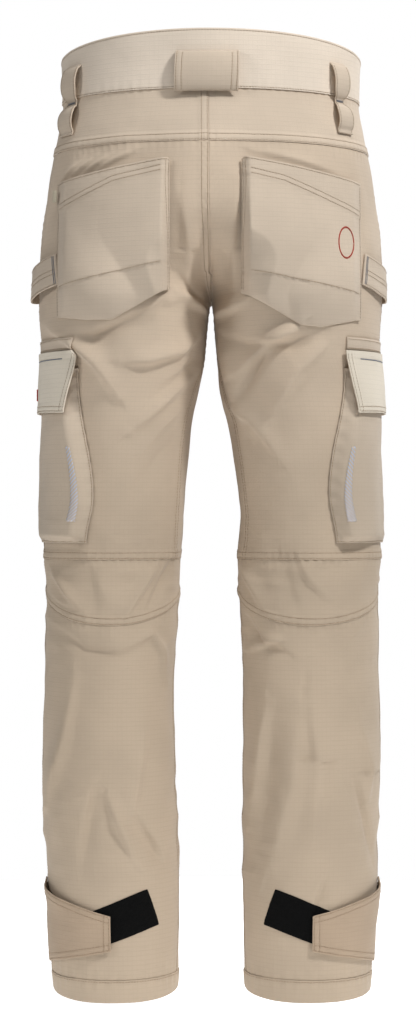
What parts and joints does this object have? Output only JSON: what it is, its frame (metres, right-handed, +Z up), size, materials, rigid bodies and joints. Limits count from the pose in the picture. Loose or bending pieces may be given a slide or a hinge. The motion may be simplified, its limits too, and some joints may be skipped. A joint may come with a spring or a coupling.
{
  "type": "flame-resistant work trousers",
  "caption": "Tan flame-resistant firefighter work trousers with bellows back pockets, flapped thigh pockets, knee panels, belt and hammer loops, zip fly and hook-and-loop ankle tabs.",
  "frame": {"origin": "centre of the waist opening, level with the front of the waistband's upper edge", "axes": "+Z up, +Y the way the wearer faces, +X the wearer's right"},
  "size_m": [0.408, 0.2873, 1.073],
  "materials": {
    "ripstop_cloth": "tan ripstop weave, flame-resistant cotton and polyester",
    "lining_cloth": "plain tan twill lining",
    "zip_tape": "woven zip tape",
    "zip_metal": "antique brass zip",
    "snap_metal": "antique brass press stud",
    "loop_tape": "black loop tape",
    "hook_tape": "black hook tape"
  },
  "bodies": {
    "pelvis": {"waistband_back": "ripstop_cloth", "waistband_front_left": "ripstop_cloth", "waistband_front_right": "ripstop_cloth", "waistband_lining": "lining_cloth", "yoke_left": "ripstop_cloth", "yoke_right": "ripstop_cloth", "seat_panel_left": "ripstop_cloth", "seat_panel_right": "ripstop_cloth", "hip_front_left": "ripstop_cloth", "hip_front_right": "ripstop_cloth", "front_pocket_bag_left": "lining_cloth", "front_pocket_bag_right": "lining_cloth", "back_pocket_left": "ripstop_cloth", "back_pocket_right": "ripstop_cloth", "belt_loop_centre": "ripstop_cloth", "belt_loops_side": "ripstop_cloth", "belt_loops_front": "ripstop_cloth", "hammer_loop_left": "ripstop_cloth", "hammer_loop_right": "ripstop_cloth", "fly_placket": "ripstop_cloth", "zip_tapes": "zip_tape", "zip_teeth": "zip_metal", "snap_stud": "snap_metal", "leg_top_left": "ripstop_cloth", "leg_top_right": "ripstop_cloth"},
    "zip_slider": {"zip_slider": "zip_metal"},
    "waist_tab": {"waist_tab": "ripstop_cloth", "snap_cap": "snap_metal"},
    "thigh_left": {"thigh_back_left": "ripstop_cloth", "thigh_front_left": "ripstop_cloth", "knee_back_left": "ripstop_cloth", "knee_front_left": "ripstop_cloth", "knee_pad_pocket_left": "ripstop_cloth", "cargo_pocket_left": "ripstop_cloth", "flap_base_left": "ripstop_cloth", "flap_fold_left": "ripstop_cloth"},
    "cargo_flap_left": {"cargo_flap_left": "ripstop_cloth", "flap_hook_tape_left": "hook_tape"},
    "shin_left": {"shin_back_left": "ripstop_cloth", "shin_front_left": "ripstop_cloth", "hem_left": "ripstop_cloth", "loop_patch_left": "loop_tape"},
    "ankle_tab_left": {"ankle_tab_left": "ripstop_cloth", "tab_hook_tape_left": "hook_tape"},
    "thigh_right": {"thigh_back_right": "ripstop_cloth", "thigh_front_right": "ripstop_cloth", "knee_back_right": "ripstop_cloth", "knee_front_right": "ripstop_cloth", "knee_pad_pocket_right": "ripstop_cloth", "cargo_pocket_right": "ripstop_cloth", "flap_base_right": "ripstop_cloth", "flap_fold_right": "ripstop_cloth"},
    "cargo_flap_right": {"cargo_flap_right": "ripstop_cloth", "flap_hook_tape_right": "hook_tape"},
    "shin_right": {"shin_back_right": "ripstop_cloth", "shin_front_right": "ripstop_cloth", "hem_right": "ripstop_cloth", "loop_patch_right": "loop_tape"},
    "ankle_tab_right": {"ankle_tab_right": "ripstop_cloth", "tab_hook_tape_right": "hook_tape"}
  },
  "joints": [
    {"name": "hip_left", "type": "hinge", "parent": "pelvis", "child": "thigh_left", "pos_m": [-0.1, -0.004, -0.318], "axis": [1, 0, 0], "range_deg": [-8, 20], "deforming": ["leg_top_left"]},
    {"name": "knee_left", "type": "hinge", "parent": "thigh_left", "child": "shin_left", "pos_m": [-0.112, 0, -0.572], "axis": [-1, 0, 0], "range_deg": [0, 40], "deforming": ["knee_back_left", "knee_front_left", "knee_pad_pocket_left"]},
    {"name": "cargo_flap_hinge_left", "type": "hinge", "parent": "thigh_left", "child": "cargo_flap_left", "pos_m": [-0.17939, -0.03538, -0.32], "axis": [-0.2484, 0.9686, 0], "range_deg": [0, 90], "deforming": ["flap_fold_left"]},
    {"name": "ankle_tab_hinge_left", "type": "hinge", "parent": "shin_left", "child": "ankle_tab_left", "pos_m": [-0.188, -0.0052, -0.959], "axis": [0, 0, -1], "range_deg": [0, 90]},
    {"name": "hip_right", "type": "hinge", "parent": "pelvis", "child": "thigh_right", "pos_m": [0.1, -0.004, -0.318], "axis": [1, 0, 0], "range_deg": [-8, 20], "deforming": ["leg_top_right"]},
    {"name": "knee_right", "type": "hinge", "parent": "thigh_right", "child": "shin_right", "pos_m": [0.112, 0, -0.572], "axis": [-1, 0, 0], "range_deg": [0, 40], "deforming": ["knee_back_right", "knee_front_right", "knee_pad_pocket_right"]},
    {"name": "cargo_flap_hinge_right", "type": "hinge", "parent": "thigh_right", "child": "cargo_flap_right", "pos_m": [0.17939, -0.03538, -0.32], "axis": [-0.2484, -0.9686, 0], "range_deg": [0, 90], "deforming": ["flap_fold_right"]},
    {"name": "ankle_tab_hinge_right", "type": "hinge", "parent": "shin_right", "child": "ankle_tab_right", "pos_m": [0.188, -0.0052, -0.959], "axis": [0, 0, 1], "range_deg": [0, 90]},
    {"name": "zip_slide", "type": "slide", "parent": "pelvis", "child": "zip_slider", "axis": [0, 0.0744, -0.9972], "range_m": [0, 0.08]},
    {"name": "waist_tab_hinge", "type": "hinge", "parent": "pelvis", "child": "waist_tab", "pos_m": [-0.0363, 0.113, -0.017], "axis": [0, 0, 1], "range_deg": [0, 70]}
  ]
}
